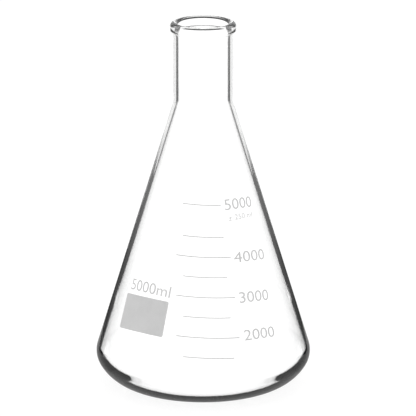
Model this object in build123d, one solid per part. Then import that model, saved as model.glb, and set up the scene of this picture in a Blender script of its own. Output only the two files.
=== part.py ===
from build123d import *
import os
from math import acos, asin, cos, degrees, radians, sin, tan

# An erlenmeyer flask of borosilicate glass, blown in one piece, with a scale fired on in enamel.
# The origin is the middle of the plane that the foot stands on, +Z points up the neck,
# and the scale faces -Y. Sizes are in millimetres and angles in degrees.

# Outside of the glass
base_diameter = 220.0        # across the widest part of the heel
flask_height = 378.0
neck_diameter = 60.8
side_lean = 17.15            # slope of the side from the vertical
shoulder_radius = 16.0       # hollow bend where the side turns up into the neck

# Heel and foot
low_heel_radius = 45.0       # the heel starts as a wide arc at the foot
low_heel_turn = 60.0         # angle that the wide arc turns through
high_heel_radius = 22.0      # a tighter arc closes it below the side
foot_width = 5.0             # flat ring that carries the flask
push_up = 4.0                # rise of the underside at the middle

# Thickness of the glass
neck_wall = 5.2
side_wall = 4.4
heel_wall = 6.0              # around the wide arc of the heel
floor_thickness = 6.0        # at the middle
inner_heel_radius = 16.0     # inside bend between the heel and the side

# Fire-polished bead at the rim
bead_overhang = 3.0          # how far it stands out past the neck
bead_height = 10.8
bead_blend = 0.8             # hollow radius under it

# Scale: printed arcs on the side
print_thickness = 0.12
line_width = 0.9
lowest_mark_height = 56.2
mark_step = 19.3
top_mark_height = 202.7
short_mark_reach = 20.3      # to the left of the middle plane
long_mark_reach = 27.0
short_mark_turn = 17.6       # to the right, as an angle around the flask
long_mark_turn = 22.0
scale_tilt = 2.6             # the print lies a little askew, lower on the right

# Marking patch, a plain enamel field to write on
patch_width = 58.2
patch_height = 36.2
patch_corner = 2.0
patch_level = 91.4           # height of its middle
patch_turn = -42.0           # its place around the flask, to the left of the scale
patch_tilt = 1.3
patch_slant = 4.0            # its left edge leans in towards the top

# Outline of the outside, from the foot up: X is the radius and Y the height
widest_radius = base_diameter / 2
heel_drop = (low_heel_radius - high_heel_radius) * sin(radians(low_heel_turn))
foot_radius = widest_radius - high_heel_radius - heel_drop
low_heel = JernArc((foot_radius, 0), (1, 0), low_heel_radius, low_heel_turn)
high_heel = JernArc(low_heel @ 1, low_heel % 1, high_heel_radius, 90 + side_lean - low_heel_turn)
heel_top = high_heel @ 1


def side_radius(height, inset=0.0):
    """Radius of the straight side, or of a surface that lies inset below it, at a height."""
    lean = radians(side_lean)
    return heel_top.X - inset / cos(lean) - (height - heel_top.Y) * tan(lean)


def side_height(radius, inset=0.0):
    """Height at which that surface has a radius."""
    return heel_top.Y + (side_radius(heel_top.Y, inset) - radius) / tan(radians(side_lean))


neck_radius = neck_diameter / 2
shoulder_corner = Vector(neck_radius, side_height(neck_radius))
bead_foot = Vector(neck_radius, flask_height - bead_height)
side = Line(heel_top, shoulder_corner)
neck_outside = Line(shoulder_corner, bead_foot)

# The bead hangs over the neck by a quarter round and closes in a half round at the lip
bore_radius = neck_radius - neck_wall
lip_radius = (neck_wall + bead_overhang) / 2
lip_level = flask_height - lip_radius
under_bead = JernArc(bead_foot, (1, 0), bead_overhang, 90)
lip_start = Vector(neck_radius + bead_overhang, lip_level)
bead_side = Line(under_bead @ 1, lip_start)
lip = JernArc(lip_start, (0, 1), lip_radius, 180)

# Outline of the inside, from the lip down to the floor, and of the pushed-up underside
bore_corner = Vector(bore_radius, side_height(bore_radius, side_wall))
neck_inside = Line(lip @ 1, bore_corner)

# The floor is crowned like the underside and runs smoothly into a bend that follows the low heel,
# which ends where it meets the inside of the cone
floor_middle = Vector(0, floor_thickness + push_up)
inner_low_radius = low_heel_radius - heel_wall
rise = low_heel_radius - floor_middle.Y
crown_radius = (foot_radius**2 + rise**2 - inner_low_radius**2) / (2 * (inner_low_radius - rise))
crown_turn = degrees(asin(foot_radius / (crown_radius + inner_low_radius)))
floor = JernArc(floor_middle, (1, 0), crown_radius, -crown_turn)
side_gap = (side_radius(low_heel_radius, side_wall) - foot_radius) * cos(radians(side_lean))
corner_angle = side_lean - degrees(acos(side_gap / inner_low_radius))
inner_low_heel = JernArc(floor @ 1, floor % 1, inner_low_radius, crown_turn + 90 + corner_angle)
heel_corner = inner_low_heel @ 1
side_inside = Line(bore_corner, heel_corner)
middle = Line(floor_middle, (0, push_up))
underside = TangentArc((0, push_up), (foot_radius - foot_width, 0), tangent=(1, 0))
foot = Line((foot_radius - foot_width, 0), (foot_radius, 0))

outline = [foot, low_heel, high_heel, side, neck_outside, under_bead, bead_side, lip,
           neck_inside, side_inside, inner_low_heel, floor, middle, underside]
section = make_face(outline)


def round_corner(face, corner, radius):
    return fillet(face.vertices().sort_by_distance(corner)[0], radius)


# Blown glass has no sharp corner: the bends are rounded on both faces of the wall
section = round_corner(section, shoulder_corner, shoulder_radius)
section = round_corner(section, bore_corner, shoulder_radius + side_wall)
section = round_corner(section, heel_corner, inner_heel_radius)
section = round_corner(section, bead_foot, bead_blend)
flask_body = revolve(Plane.XZ * section, Axis.Z)

# Enamel lies on the side as a thin skin. Each print is cut from it by a flat cutter.
skin_foot = heel_top.Y
skin_top = shoulder_corner.Y - shoulder_radius
skin_section = make_face(Polyline(
    (side_radius(skin_foot), skin_foot),
    (side_radius(skin_foot, -print_thickness), skin_foot),
    (side_radius(skin_top, -print_thickness), skin_top),
    (side_radius(skin_top), skin_top),
    close=True,
))
skin = revolve(Plane.XZ * skin_section, Axis.Z)


def scale_mark(height, reach, turn):
    """A level arc at a height, from its left reach round to its right turn."""
    right = side_radius(height) * sin(radians(turn))
    size = (right + reach, widest_radius, line_width)
    cutter = Box(*size, align=(Align.MIN, Align.MAX, Align.CENTER))
    return skin & Pos(0, 0, height) * Rot(0, scale_tilt, 0) * Pos(-reach, 0, 0) * cutter


parts = {"flask_body": flask_body}
for capacity in range(1500, 5000, 500):
    height = lowest_mark_height + mark_step * (capacity - 1500) / 500
    if capacity % 1000 == 0:
        parts[f"mark_{capacity}"] = scale_mark(height, long_mark_reach, long_mark_turn)
    else:
        parts[f"mark_{capacity}"] = scale_mark(height, short_mark_reach, short_mark_turn)
parts["mark_5000"] = scale_mark(top_mark_height, short_mark_reach, short_mark_turn)

# The patch is cut square to the side at the patch's own middle
around = radians(patch_turn)
lean = radians(side_lean)
patch_radius = side_radius(patch_level)
patch_plane = Plane(
    origin=(patch_radius * sin(around), -patch_radius * cos(around), patch_level),
    x_dir=(cos(around), sin(around), 0),
    z_dir=(sin(around) * cos(lean), -cos(around) * cos(lean), sin(lean)),
)
patch_field = Trapezoid(patch_width, patch_height, 90 - patch_slant, 90)
patch_field = fillet(patch_field.vertices(), patch_corner)
patch_outline = Rot(0, 0, patch_tilt) * patch_field
patch_cutter = extrude(patch_plane * patch_outline, patch_radius / 2, both=True)
parts["marking_patch"] = skin & patch_cutter

os.makedirs("parts", exist_ok=True)
for name, part in parts.items():
    export_step(part, f"parts/{name}.step")
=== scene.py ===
from math import acos, asin, atan2, cos, hypot, pi, radians, sin, sqrt, tan

import bmesh
import bpy
from mathutils import Matrix, Vector


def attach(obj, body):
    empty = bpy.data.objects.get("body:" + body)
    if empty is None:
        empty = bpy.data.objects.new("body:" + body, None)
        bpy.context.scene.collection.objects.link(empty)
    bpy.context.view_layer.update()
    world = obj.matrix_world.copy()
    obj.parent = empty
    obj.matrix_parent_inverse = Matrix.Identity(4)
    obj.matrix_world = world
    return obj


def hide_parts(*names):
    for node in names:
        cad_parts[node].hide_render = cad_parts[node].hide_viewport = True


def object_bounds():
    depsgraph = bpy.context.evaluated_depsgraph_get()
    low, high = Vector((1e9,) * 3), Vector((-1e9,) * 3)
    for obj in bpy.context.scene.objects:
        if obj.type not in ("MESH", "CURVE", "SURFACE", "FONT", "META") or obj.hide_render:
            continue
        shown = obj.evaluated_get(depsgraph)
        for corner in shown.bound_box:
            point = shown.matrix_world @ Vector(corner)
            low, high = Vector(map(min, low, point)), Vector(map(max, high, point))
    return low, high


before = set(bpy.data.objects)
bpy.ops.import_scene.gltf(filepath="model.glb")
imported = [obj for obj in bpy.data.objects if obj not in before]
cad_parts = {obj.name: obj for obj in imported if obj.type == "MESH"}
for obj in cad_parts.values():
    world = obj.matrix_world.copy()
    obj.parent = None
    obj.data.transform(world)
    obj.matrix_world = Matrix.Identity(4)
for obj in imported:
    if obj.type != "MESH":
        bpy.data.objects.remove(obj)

cad_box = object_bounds()


# The body
# Borosilicate glass, blown in one piece in a turning mould: a thick rounded heel, a straight cone
# and a neck. The rim is melted back in the flame into a bead, and the floor is pushed up a little.
base_radius = cad_box[1].x
rim_height = cad_box[1].z
side_lean = radians(17.15)
neck_radius = 0.0304
neck_wall = 0.0052
side_wall = 0.0044
heel_wall = 0.006
shoulder_radius = 0.016
bead_overhang = 0.003
bead_height = 0.0108
bead_blend = 0.0008
low_heel_radius = 0.045
low_heel_turn = radians(60)
high_heel_radius = 0.022
inner_heel_radius = 0.016        # inside bend between the heel and the side
foot_width = 0.005
push_up = 0.004
floor_thickness = 0.006          # at the middle
steps_around = 256
same_place = 1e-6                # points nearer than this are one

outline = bmesh.new()


def run(start, radius, height, steps=1):
    """Draws the outline straight on to a radius and a height, and gives its new end."""
    stride = (Vector((radius, 0, height)) - start.co) / steps
    for _ in range(steps):
        start = bmesh.ops.extrude_vert_indiv(outline, verts=[start])["verts"][0]
        start.co += stride
    return start


def bend(start, centre, turn, steps):
    """Draws it round a centre, given as a radius and a height, anticlockwise for a turn above 0."""
    drawn = bmesh.ops.spin(outline, geom=[start], cent=(centre[0], 0, centre[1]),
                           axis=(0, -1, 0), angle=turn, steps=steps)
    return next(item for item in drawn["geom_last"] if isinstance(item, bmesh.types.BMVert))


# From the middle of the underside out over the foot and up round the heel
radius_drop = low_heel_radius - high_heel_radius
foot_radius = base_radius - high_heel_radius - radius_drop * sin(low_heel_turn)
inner_foot = foot_radius - foot_width
hollow_radius = (inner_foot ** 2 + push_up ** 2) / (2 * push_up)
end = outline.verts.new((0, 0, push_up))
end = bend(end, (0, push_up - hollow_radius), -asin(inner_foot / hollow_radius), 16)
end = run(end, foot_radius, 0, 2)
end = bend(end, (foot_radius, low_heel_radius), low_heel_turn, 24)
heel_centre = (base_radius - high_heel_radius,
               low_heel_radius - radius_drop * cos(low_heel_turn))
end = bend(end, heel_centre, pi / 2 - low_heel_turn + side_lean, 18)
heel_top = end.co.copy()


def side_height(radius, inset=0.0):
    """Height at which the straight side, or a surface inset below it, has a radius."""
    return heel_top.z + (heel_top.x - inset / cos(side_lean) - radius) / tan(side_lean)


# Up the side, round the shoulder and up the neck
bend_start = neck_radius + shoulder_radius * (1 - cos(side_lean))
end = run(end, bend_start, side_height(bend_start), 64)
shoulder_level = end.co.z + shoulder_radius * sin(side_lean)
end = bend(end, (neck_radius + shoulder_radius, shoulder_level), -side_lean, 8)
under_bead = rim_height - bead_height + bead_overhang
blend_turn = acos(bead_blend / (bead_overhang + bead_blend))
blend_level = under_bead - (bead_overhang + bead_blend) * sin(blend_turn)
end = run(end, neck_radius, blend_level, 24)

# The bead at the rim, and down the inside of the neck
lip_radius = (neck_wall + bead_overhang) / 2
end = bend(end, (neck_radius + bead_blend, blend_level), -blend_turn, 6)
end = bend(end, (neck_radius, under_bead), blend_turn, 10)
end = run(end, neck_radius + bead_overhang, rim_height - lip_radius, 3)
end = bend(end, (neck_radius + bead_overhang - lip_radius, rim_height - lip_radius), pi, 28)
inner_bend_radius = shoulder_radius + side_wall
bore_radius = neck_radius - neck_wall
bend_end = bore_radius + inner_bend_radius * (1 - cos(side_lean))
inner_shoulder_level = side_height(bend_end, side_wall) + inner_bend_radius * sin(side_lean)
end = run(end, bore_radius, inner_shoulder_level, 24)
end = bend(end, (bore_radius + inner_bend_radius, inner_shoulder_level), side_lean, 8)

# Down the inside of the cone, round the heel at an even thickness, and in over the crowned floor
low_bend = low_heel_radius - heel_wall
side_gap = ((heel_top.x - foot_radius) * cos(side_lean)
            + (heel_top.z - low_heel_radius) * sin(side_lean) - side_wall)
inward = side_gap - inner_heel_radius
down = sqrt((low_bend - inner_heel_radius) ** 2 - inward ** 2)
bend_middle = (foot_radius + inward * cos(side_lean) + down * sin(side_lean),
               low_heel_radius + inward * sin(side_lean) - down * cos(side_lean))
bend_turn = atan2(down, inward)
end = run(end, bend_middle[0] + inner_heel_radius * cos(side_lean),
          bend_middle[1] + inner_heel_radius * sin(side_lean), 60)
end = bend(end, bend_middle, -bend_turn, 14)
rise = low_heel_radius - push_up - floor_thickness
crown_radius = (foot_radius ** 2 + rise ** 2 - low_bend ** 2) / (2 * (low_bend - rise))
crown_turn = asin(foot_radius / (crown_radius + low_bend))
inner_low_turn = pi / 2 + side_lean + crown_turn - bend_turn
end = bend(end, (foot_radius, low_heel_radius), -inner_low_turn, 30)
end = bend(end, (0, push_up + floor_thickness - crown_radius), crown_turn, 16)

bmesh.ops.spin(outline, geom=outline.verts[:] + outline.edges[:], cent=(0, 0, 0),
               axis=(0, 0, 1), angle=2 * pi, steps=steps_around, use_merge=True)
bmesh.ops.remove_doubles(outline, verts=outline.verts[:], dist=same_place)
bmesh.ops.recalc_face_normals(outline, faces=outline.faces[:])
for face in outline.faces:
    face.smooth = True
glass_mesh = bpy.data.meshes.new("flask_glass")
outline.to_mesh(glass_mesh)
outline.free()


class Shade:
    """A socket of a shader's nodes. A sum written with it adds Math nodes to the same shader."""

    def __init__(self, node, name=0):
        self.node = node
        self.socket = node.outputs[name] if node.outputs else None

    @classmethod
    def new(cls, tree, kind, settings=None, sockets=None):
        """Adds a node of a kind, with its settings and then its sockets' values or links."""
        node = tree.nodes.new(kind)
        for name, value in (settings or {}).items():
            setattr(node, name, value)
        for name, value in (sockets or {}).items():
            if isinstance(value, Shade):
                tree.links.new(value.socket, node.inputs[name])
            else:
                node.inputs[name].default_value = value
        return cls(node)

    def __getitem__(self, name):
        return Shade(self.node, name)

    def maths(self, operation, first, second, clamp=False):
        return Shade.new(self.node.id_data, "ShaderNodeMath",
                         {"operation": operation, "use_clamp": clamp}, {0: first, 1: second})

    def __add__(self, other):
        return self.maths("ADD", self, other)

    def __sub__(self, other):
        return self.maths("SUBTRACT", self, other)

    def __rsub__(self, other):
        return self.maths("SUBTRACT", other, self)

    def __mul__(self, other):
        return self.maths("MULTIPLY", self, other)

    def __gt__(self, other):
        return self.maths("GREATER_THAN", self, other)

    def __lt__(self, other):
        return self.maths("LESS_THAN", self, other)

    __radd__ = __add__
    __rmul__ = __mul__

    def rise(self, start, end):
        """0 below start and 1 above end, with an even rise between them."""
        return self.maths("MULTIPLY", self - start, 1 / (end - start), clamp=True)


glass_index = 1.473              # refractive index of borosilicate glass
cord_scale = (60.0, 60.0, 9.0)   # faint cords in the glass, drawn out along its axis
cord_depth = 0.0002
handling_scale = 35.0            # worn and touched places are a little less smooth
glass = bpy.data.materials.new("clear_glass")
glass.use_nodes = True
nodes = glass.node_tree
nodes.nodes.clear()
place = Shade.new(nodes, "ShaderNodeTexCoord")["Object"]
drawn_out = Shade.new(nodes, "ShaderNodeMapping", {}, {"Vector": place, "Scale": cord_scale})
cords = Shade.new(nodes, "ShaderNodeTexNoise", {}, {
    "Vector": drawn_out, "Scale": 1.0, "Detail": 2.0})
handling = Shade.new(nodes, "ShaderNodeTexNoise", {}, {
    "Vector": place, "Scale": handling_scale, "Detail": 3.0})
waves = Shade.new(nodes, "ShaderNodeBump", {}, {
    "Height": cords["Fac"], "Strength": 0.25, "Distance": cord_depth})
skin = Shade.new(nodes, "ShaderNodeBsdfPrincipled", {}, {
    "Base Color": (1.0, 1.0, 1.0, 1.0),
    "Roughness": handling["Fac"].rise(0.55, 0.9) * 0.01,
    "IOR": glass_index,
    "Transmission Weight": 1.0,
    "Normal": waves,
})
Shade.new(nodes, "ShaderNodeOutputMaterial", {}, {"Surface": skin})
glass_mesh.materials.append(glass)
flask = bpy.data.objects.new("flask_glass", glass_mesh)
bpy.context.collection.objects.link(flask)
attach(flask, "root")
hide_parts("flask_body")


# The scale and the patch
# Pale grey enamel, printed from a flat transfer and fired on until it is part of the surface. The
# marks are thin lines, and the patch is a plain field with rounded corners to write on in pencil.
cloud_scale = 90.0               # uneven thickness of the print
grain_scale = 1400.0             # and the grain of the fired powder
grain_depth = 0.00005
pale, deep = (0.60, 0.60, 0.60, 1.0), (0.55, 0.55, 0.55, 1.0)
enamel = bpy.data.materials.new("fired_enamel")
enamel.use_nodes = True
nodes = enamel.node_tree
nodes.nodes.clear()
place = Shade.new(nodes, "ShaderNodeTexCoord")["Object"]
cloud = Shade.new(nodes, "ShaderNodeTexNoise", {}, {
    "Vector": place, "Scale": cloud_scale, "Detail": 4.0})
grain = Shade.new(nodes, "ShaderNodeTexNoise", {}, {
    "Vector": place, "Scale": grain_scale, "Detail": 2.0})
shade = cloud["Fac"].rise(0.35, 0.65) * 0.6 + grain["Fac"].rise(0.3, 0.7) * 0.4
ink = Shade.new(nodes, "ShaderNodeMix", {"data_type": "RGBA"}, {
    "Factor": shade, 6: pale, 7: deep})
tooth = Shade.new(nodes, "ShaderNodeBump", {}, {
    "Height": grain["Fac"], "Strength": 0.3, "Distance": grain_depth})
skin = Shade.new(nodes, "ShaderNodeBsdfPrincipled", {}, {
    "Base Color": ink["Result"],
    "Roughness": 0.5 + 0.15 * cloud["Fac"],
    "Normal": tooth,
})
Shade.new(nodes, "ShaderNodeOutputMaterial", {}, {"Surface": skin})
for name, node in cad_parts.items():
    if name.startswith("mark"):
        node.data.materials.clear()
        node.data.materials.append(enamel)


# The numbers
# The same enamel from the same transfer: the volume beside each long mark and the top one, and the
# whole volume over the patch. They are drawn flat and laid round the cone as the transfer is.
print_thickness = 0.00012
slice_width = 0.001              # the letters are cut this fine, so that they bend with the cone
cut_tolerance = 1e-7
apex = side_height(0)


def print_on_side(name, words, turn, level, width, height, tilt):
    """Lays words on the cone, from a turn and a level on. Turn and tilt are in degrees."""
    letters = bpy.data.curves.new(name, "FONT")
    letters.body = words
    letters.resolution_u = 6
    drawn = bpy.data.objects.new(name, letters)
    flat = bpy.data.meshes.new_from_object(drawn)
    sheet = bmesh.new()
    sheet.from_mesh(flat)
    bmesh.ops.remove_doubles(sheet, verts=sheet.verts[:], dist=same_place)
    left, right = (pick(v.co.x for v in sheet.verts) for pick in (min, max))
    low, high = (pick(v.co.y for v in sheet.verts) for pick in (min, max))
    fit = Matrix.Diagonal((width / (right - left), height / (high - low), 1, 1))
    place = Matrix.Rotation(radians(tilt), 4, "Z") @ fit @ Matrix.Translation((-left, -low, 0))
    sheet.transform(place)
    for cut in range(1, int(width / slice_width) + 1):
        geometry = sheet.verts[:] + sheet.edges[:] + sheet.faces[:]
        bmesh.ops.bisect_plane(sheet, geom=geometry, dist=cut_tolerance,
                               plane_co=(cut * slice_width, 0, 0), plane_no=(1, 0, 0))
    for face in sheet.faces:
        if face.normal.z < 0:
            face.normal_flip()
    raised = bmesh.ops.extrude_face_region(sheet, geom=sheet.faces[:], use_keep_orig=True)
    for item in raised["geom"]:
        if isinstance(item, bmesh.types.BMVert):
            item.co.z += print_thickness
    bmesh.ops.recalc_face_normals(sheet, faces=sheet.faces[:])
    start = (apex - level) / cos(side_lean)
    for vertex in sheet.verts:
        along, up, out = vertex.co
        slant = hypot(along, start - up)
        around = radians(turn) + asin(along / slant) / sin(side_lean)
        radius = slant * sin(side_lean) + out * cos(side_lean)
        height_up = apex - slant * cos(side_lean) + out * sin(side_lean)
        vertex.co = (radius * sin(around), -radius * cos(around), height_up)
    printed = bpy.data.meshes.new(name)
    sheet.to_mesh(printed)
    sheet.free()
    bpy.data.objects.remove(drawn)
    bpy.data.meshes.remove(flat)
    printed.materials.append(enamel)
    piece = bpy.data.objects.new(name, printed)
    bpy.context.collection.objects.link(piece)
    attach(piece, "root")


print_on_side("number_5000", "5000", 21.4, 0.1965, 0.0340, 0.0110, 2.0)
print_on_side("number_4000", "4000", 24.4, 0.1454, 0.0390, 0.0108, 0.0)
print_on_side("number_3000", "3000", 24.7, 0.1065, 0.0360, 0.0110, -1.0)
print_on_side("number_2000", "2000", 24.8, 0.0701, 0.0372, 0.0108, 0.0)
print_on_side("tolerance", "± 250 ml", 24.0, 0.1861, 0.0300, 0.0054, 3.2)
print_on_side("whole_volume", "5000ml", -57.1, 0.1115, 0.0519, 0.0113, 5.4)


# The stage
# A wide pale floor under an even white sky, and dark cards standing around the flask. Only light
# that the glass turns back sees the cards and the dark of the floor, so they draw the edges of the
# glass and stay out of the picture.
floor_reach = 8.0
floor_gap = 0.0003               # keeps the floor clear of the foot
card_gap = 0.0001
floor_sides = 96
card_steps = 24
low_card = (0.3, 0, 65, 0.06)    # how far away, from which turn to which, and how high
middle_card = (0.45, 14, 42, 0.18)
tall_card = (0.9, 35, 70, 3.0)
card_level = 0.03                # brightness of the cards at their foot
card_grade = 0.9                 # and how much they brighten per metre up
mirrored_level = 0.4             # least brightness of the floor that the outside mirrors
glass_gain = 1.2                 # makes up for what the glass reflects
white_floor = 0.32               # light down through the glass finds the floor this wide
steep = radians(30)              # and past it, where it is steeper than this, the dark below
floor_grey = 0.2                 # what the floor throws back of the light, with the shadow in it
floor_glow = 0.86                # and what it adds, up to the white of the sky
white = (1, 1, 1, 1)


def kinds_of_light(tree):
    """Two masks: light turned back on or in a wall of the glass, and other light through it."""
    one, three = 0.5, 2.5        # depths are whole numbers, so these lie just below one and three
    path = Shade.new(tree, "ShaderNodeLightPath")
    direct = path["Diffuse Depth"] < one
    crossed = path["Transmission Depth"]
    turned = direct * (path["Glossy Depth"] > one) * (crossed < three)
    return turned, direct * (crossed > one) * (1 - turned)


# Paint of the cards, which all other light passes
card_paint = bpy.data.materials.new("dark_card")
card_paint.use_nodes = True
nodes = card_paint.node_tree
nodes.nodes.clear()
turned, _ = kinds_of_light(nodes)
place = Shade.new(nodes, "ShaderNodeNewGeometry")["Position"]
up = Shade.new(nodes, "ShaderNodeSeparateXYZ", {}, {0: place})["Z"]
grade = up.maths("MULTIPLY", up, card_grade, clamp=True)
dark = Shade.new(nodes, "ShaderNodeEmission", {}, {
    "Color": white, "Strength": grade + card_level})
clear = Shade.new(nodes, "ShaderNodeBsdfTransparent")
seen = Shade.new(nodes, "ShaderNodeMixShader", {}, {"Fac": turned, 1: clear, 2: dark})
Shade.new(nodes, "ShaderNodeOutputMaterial", {}, {"Surface": seen})

# Each card is a set of four arcs, to both sides of straight behind and of straight in front
cards = {"low": low_card, "middle": middle_card, "tall": tall_card}
for label, (away, first, last, high) in cards.items():
    for quarter, (turn, way) in enumerate(((90, -1), (90, 1), (-90, -1), (-90, 1))):
        sheet = bmesh.new()
        foot = radians(turn + way * first)
        corner = Vector((away * cos(foot), away * sin(foot), card_gap))
        ends = [sheet.verts.new(corner), sheet.verts.new(corner + Vector((0, 0, high)))]
        edge = sheet.edges.new(ends)
        bmesh.ops.spin(sheet, geom=ends + [edge], cent=(0, 0, 0), axis=(0, 0, 1),
                       angle=radians(way * (last - first)), steps=card_steps)
        card_mesh = bpy.data.meshes.new(f"{label}_card_{quarter + 1}")
        sheet.to_mesh(card_mesh)
        sheet.free()
        card_mesh.materials.append(card_paint)
        card = bpy.data.objects.new(card_mesh.name, card_mesh)
        bpy.context.collection.objects.link(card)

# Paint of the floor, with a round dark card under the flask
floor_paint = bpy.data.materials.new("pale_floor")
floor_paint.use_nodes = True
nodes = floor_paint.node_tree
nodes.nodes.clear()
place = Shade.new(nodes, "ShaderNodeNewGeometry")["Position"]
away = Shade.new(nodes, "ShaderNodeVectorMath", {"operation": "LENGTH"}, {0: place})["Value"]
dark_radius, fade = low_card[0], 0.01
level = away.rise(dark_radius - fade, dark_radius + fade) * (1 - card_level) + card_level
outside = Shade.new(nodes, "ShaderNodeLightPath")["Transmission Depth"] < 0.5    # not once
level = level.maths("MAXIMUM", level, outside * mirrored_level)
turned, through = kinds_of_light(nodes)
in_glass = Shade.new(nodes, "ShaderNodeEmission", {}, {
    "Color": white, "Strength": turned * level + through * glass_gain})
clear = Shade.new(nodes, "ShaderNodeBsdfTransparent")
matt = Shade.new(nodes, "ShaderNodeBsdfDiffuse", {}, {
    "Color": (floor_grey, floor_grey, floor_grey, 1)})
glow = Shade.new(nodes, "ShaderNodeEmission", {}, {"Color": white, "Strength": floor_glow})
lit = Shade.new(nodes, "ShaderNodeAddShader", {}, {0: matt, 1: glow})
seen = Shade.new(nodes, "ShaderNodeMixShader", {}, {"Fac": turned + through, 1: lit, 2: in_glass})
soft_edge = 0.05
past = through * away.rise(white_floor - soft_edge, white_floor + soft_edge)
seen = Shade.new(nodes, "ShaderNodeMixShader", {}, {"Fac": past, 1: seen, 2: clear})
Shade.new(nodes, "ShaderNodeOutputMaterial", {}, {"Surface": seen})

disc = bmesh.new()
bmesh.ops.create_circle(disc, cap_ends=True, segments=floor_sides, radius=floor_reach,
                        matrix=Matrix.Translation((0, 0, -floor_gap)))
floor_mesh = bpy.data.meshes.new("floor")
disc.to_mesh(floor_mesh)
disc.free()
floor_mesh.materials.append(floor_paint)
floor = bpy.data.objects.new("floor", floor_mesh)
bpy.context.collection.objects.link(floor)

world = bpy.data.worlds.new("studio")
bpy.context.scene.world = world
world.use_nodes = True
nodes = world.node_tree
nodes.nodes.clear()
sight = Shade.new(nodes, "ShaderNodeTexCoord")["Generated"]
sight_up = Shade.new(nodes, "ShaderNodeSeparateXYZ", {}, {0: sight})["Z"]
_, through = kinds_of_light(nodes)
down = (-sin(steep) - sight_up).rise(-0.03, 0.03)
strength = 1 + through * (glass_gain - 1) - through * down * (glass_gain - card_level)
sky = Shade.new(nodes, "ShaderNodeBackground", {}, {"Color": white, "Strength": strength})
Shade.new(nodes, "ShaderNodeOutputWorld", {}, {"Surface": sky})


# The camera
# It looks down on the flask from well away, with a long lens, a little to the right of its axis.
image_size = 416
distance = 3.6438
pitch = radians(15.218)
aim = Vector((0.0049, 0, 0.18375))
focal_length = 3571              # in pixels
lens = bpy.data.cameras.new("camera")
lens.sensor_width = 36           # in millimetres, as the focal length that follows from it
lens.lens = lens.sensor_width * focal_length / image_size
lens.clip_end = 50
camera = bpy.data.objects.new("camera", lens)
bpy.context.collection.objects.link(camera)
camera.location = aim + distance * Vector((0, -cos(pitch), sin(pitch)))
camera.rotation_euler = (pi / 2 - pitch, 0, 0)
bpy.context.scene.camera = camera
bpy.context.scene.view_settings.view_transform = "Standard"
